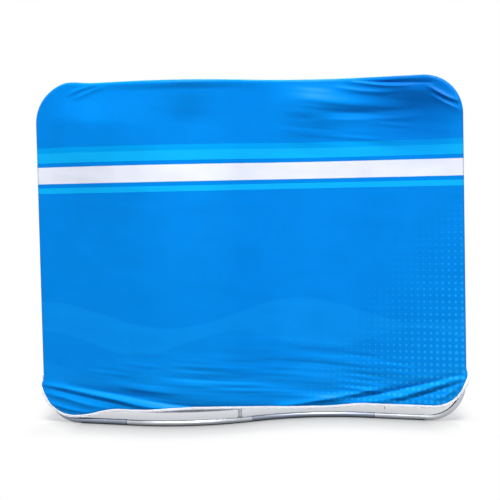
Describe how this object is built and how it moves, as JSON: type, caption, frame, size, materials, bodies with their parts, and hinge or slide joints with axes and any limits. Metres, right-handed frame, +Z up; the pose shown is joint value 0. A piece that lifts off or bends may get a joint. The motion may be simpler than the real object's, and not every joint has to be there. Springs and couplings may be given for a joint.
{
  "type": "fabric display stand",
  "caption": "Free-standing S-curved backdrop: a rounded ring of plug-together aluminium tube with a prop pole, under a pull-on printed stretch-fabric cover with an open zip hem.",
  "frame": {"origin": "on the floor, below the middle of the stand", "axes": "+X to the right along the width as seen from the printed front, +Y away from the viewer, +Z up"},
  "size_m": [2.8548, 0.409, 2.3014],
  "materials": {
    "aluminium_tube": "satin anodised",
    "printed_fabric": "stretch knit, dye printed",
    "plain_fabric": "stretch knit, plain dyed",
    "zip_tape": "woven polyester tape",
    "zip_coil": "nylon coil",
    "zip_metal": "nickel plated",
    "zinc_steel": "zinc plated",
    "moulded_nylon": "moulded grey nylon"
  },
  "bodies": {
    "frame": {"bottom_tube_left": "aluminium_tube", "bottom_tube_right": "aluminium_tube", "button_spring_bottom_left": "zinc_steel", "button_spring_bottom_middle": "zinc_steel", "button_spring_bottom_right": "zinc_steel", "button_spring_left_lower": "zinc_steel", "button_spring_left_upper": "zinc_steel", "button_spring_pole": "zinc_steel", "button_spring_right_lower": "zinc_steel", "button_spring_right_upper": "zinc_steel", "button_spring_top_left": "zinc_steel", "button_spring_top_middle": "zinc_steel", "button_spring_top_right": "zinc_steel", "corner_tube_bottom_left": "aluminium_tube", "corner_tube_bottom_right": "aluminium_tube", "corner_tube_top_left": "aluminium_tube", "corner_tube_top_right": "aluminium_tube", "ferrule_bottom_left": "aluminium_tube", "ferrule_bottom_middle": "aluminium_tube", "ferrule_bottom_right": "aluminium_tube", "ferrule_left_lower": "aluminium_tube", "ferrule_left_upper": "aluminium_tube", "ferrule_pole": "aluminium_tube", "ferrule_right_lower": "aluminium_tube", "ferrule_right_upper": "aluminium_tube", "ferrule_rivets": "zinc_steel", "ferrule_top_left": "aluminium_tube", "ferrule_top_middle": "aluminium_tube", "ferrule_top_right": "aluminium_tube", "pole_saddle_bottom": "moulded_nylon", "pole_saddle_top": "moulded_nylon", "pole_tube_lower": "aluminium_tube", "pole_tube_upper": "aluminium_tube", "side_tube_left": "aluminium_tube", "side_tube_right": "aluminium_tube", "top_tube_left": "aluminium_tube", "top_tube_right": "aluminium_tube"},
    "cover": {"front_panel": "printed_fabric", "back_panel": "plain_fabric", "front_zip_tape": "zip_tape", "back_zip_tape": "zip_tape", "front_zip_coil": "zip_coil", "back_zip_coil": "zip_coil"},
    "zip_slider": {"zip_slider": "zip_metal"},
    "zip_pull": {"zip_pull": "zip_metal"},
    "snap_button_bottom_left": {"snap_button_bottom_left": "zinc_steel"},
    "snap_button_bottom_middle": {"snap_button_bottom_middle": "zinc_steel"},
    "snap_button_bottom_right": {"snap_button_bottom_right": "zinc_steel"},
    "snap_button_left_lower": {"snap_button_left_lower": "zinc_steel"},
    "snap_button_left_upper": {"snap_button_left_upper": "zinc_steel"},
    "snap_button_pole": {"snap_button_pole": "zinc_steel"},
    "snap_button_right_lower": {"snap_button_right_lower": "zinc_steel"},
    "snap_button_right_upper": {"snap_button_right_upper": "zinc_steel"},
    "snap_button_top_left": {"snap_button_top_left": "zinc_steel"},
    "snap_button_top_middle": {"snap_button_top_middle": "zinc_steel"},
    "snap_button_top_right": {"snap_button_top_right": "zinc_steel"}
  },
  "joints": [
    {"name": "cover_lift", "type": "slide", "parent": "frame", "child": "cover", "axis": [0, 0, 1], "range_m": [0, 2.3]},
    {"name": "zip_travel", "type": "slide", "parent": "cover", "child": "zip_slider", "axis": [0.9397, -0.342, 0], "range_m": [0, 0.22]},
    {"name": "zip_pull_swing", "type": "hinge", "parent": "zip_slider", "child": "zip_pull", "pos_m": [0.90366, 0.03231, 0.0878], "axis": [0.9397, -0.342, 0], "range_deg": [0, 150]},
    {"name": "snap_button_bottom_middle_press", "type": "slide", "parent": "frame", "child": "snap_button_bottom_middle", "axis": [0, 0, 1], "range_m": [-0.0045, 0], "stiffness_N_per_m": 2500, "deforming": ["button_spring_bottom_middle"]},
    {"name": "snap_button_bottom_right_press", "type": "slide", "parent": "frame", "child": "snap_button_bottom_right", "axis": [0, 0, 1], "range_m": [-0.0045, 0], "stiffness_N_per_m": 2500, "deforming": ["button_spring_bottom_right"]},
    {"name": "snap_button_bottom_left_press", "type": "slide", "parent": "frame", "child": "snap_button_bottom_left", "axis": [0, 0, 1], "range_m": [-0.0045, 0], "stiffness_N_per_m": 2500, "deforming": ["button_spring_bottom_left"]},
    {"name": "snap_button_top_middle_press", "type": "slide", "parent": "frame", "child": "snap_button_top_middle", "axis": [0, 0, -1], "range_m": [-0.0045, 0], "stiffness_N_per_m": 2500, "deforming": ["button_spring_top_middle"]},
    {"name": "snap_button_top_right_press", "type": "slide", "parent": "frame", "child": "snap_button_top_right", "axis": [0, 0, -1], "range_m": [-0.0045, 0], "stiffness_N_per_m": 2500, "deforming": ["button_spring_top_right"]},
    {"name": "snap_button_top_left_press", "type": "slide", "parent": "frame", "child": "snap_button_top_left", "axis": [0, 0, -1], "range_m": [-0.0045, 0], "stiffness_N_per_m": 2500, "deforming": ["button_spring_top_left"]},
    {"name": "snap_button_right_lower_press", "type": "slide", "parent": "frame", "child": "snap_button_right_lower", "axis": [-0.9397, 0.342, 0], "range_m": [-0.0045, 0], "stiffness_N_per_m": 2500, "deforming": ["button_spring_right_lower"]},
    {"name": "snap_button_left_lower_press", "type": "slide", "parent": "frame", "child": "snap_button_left_lower", "axis": [0.9397, -0.342, 0], "range_m": [-0.0045, 0], "stiffness_N_per_m": 2500, "deforming": ["button_spring_left_lower"]},
    {"name": "snap_button_right_upper_press", "type": "slide", "parent": "frame", "child": "snap_button_right_upper", "axis": [-0.9397, 0.342, 0], "range_m": [-0.0045, 0], "stiffness_N_per_m": 2500, "deforming": ["button_spring_right_upper"]},
    {"name": "snap_button_left_upper_press", "type": "slide", "parent": "frame", "child": "snap_button_left_upper", "axis": [0.9397, -0.342, 0], "range_m": [-0.0045, 0], "stiffness_N_per_m": 2500, "deforming": ["button_spring_left_upper"]},
    {"name": "snap_button_pole_press", "type": "slide", "parent": "frame", "child": "snap_button_pole", "axis": [0.9269, 0.3752, 0], "range_m": [-0.0042, 0], "stiffness_N_per_m": 2500, "deforming": ["button_spring_pole"]}
  ]
}
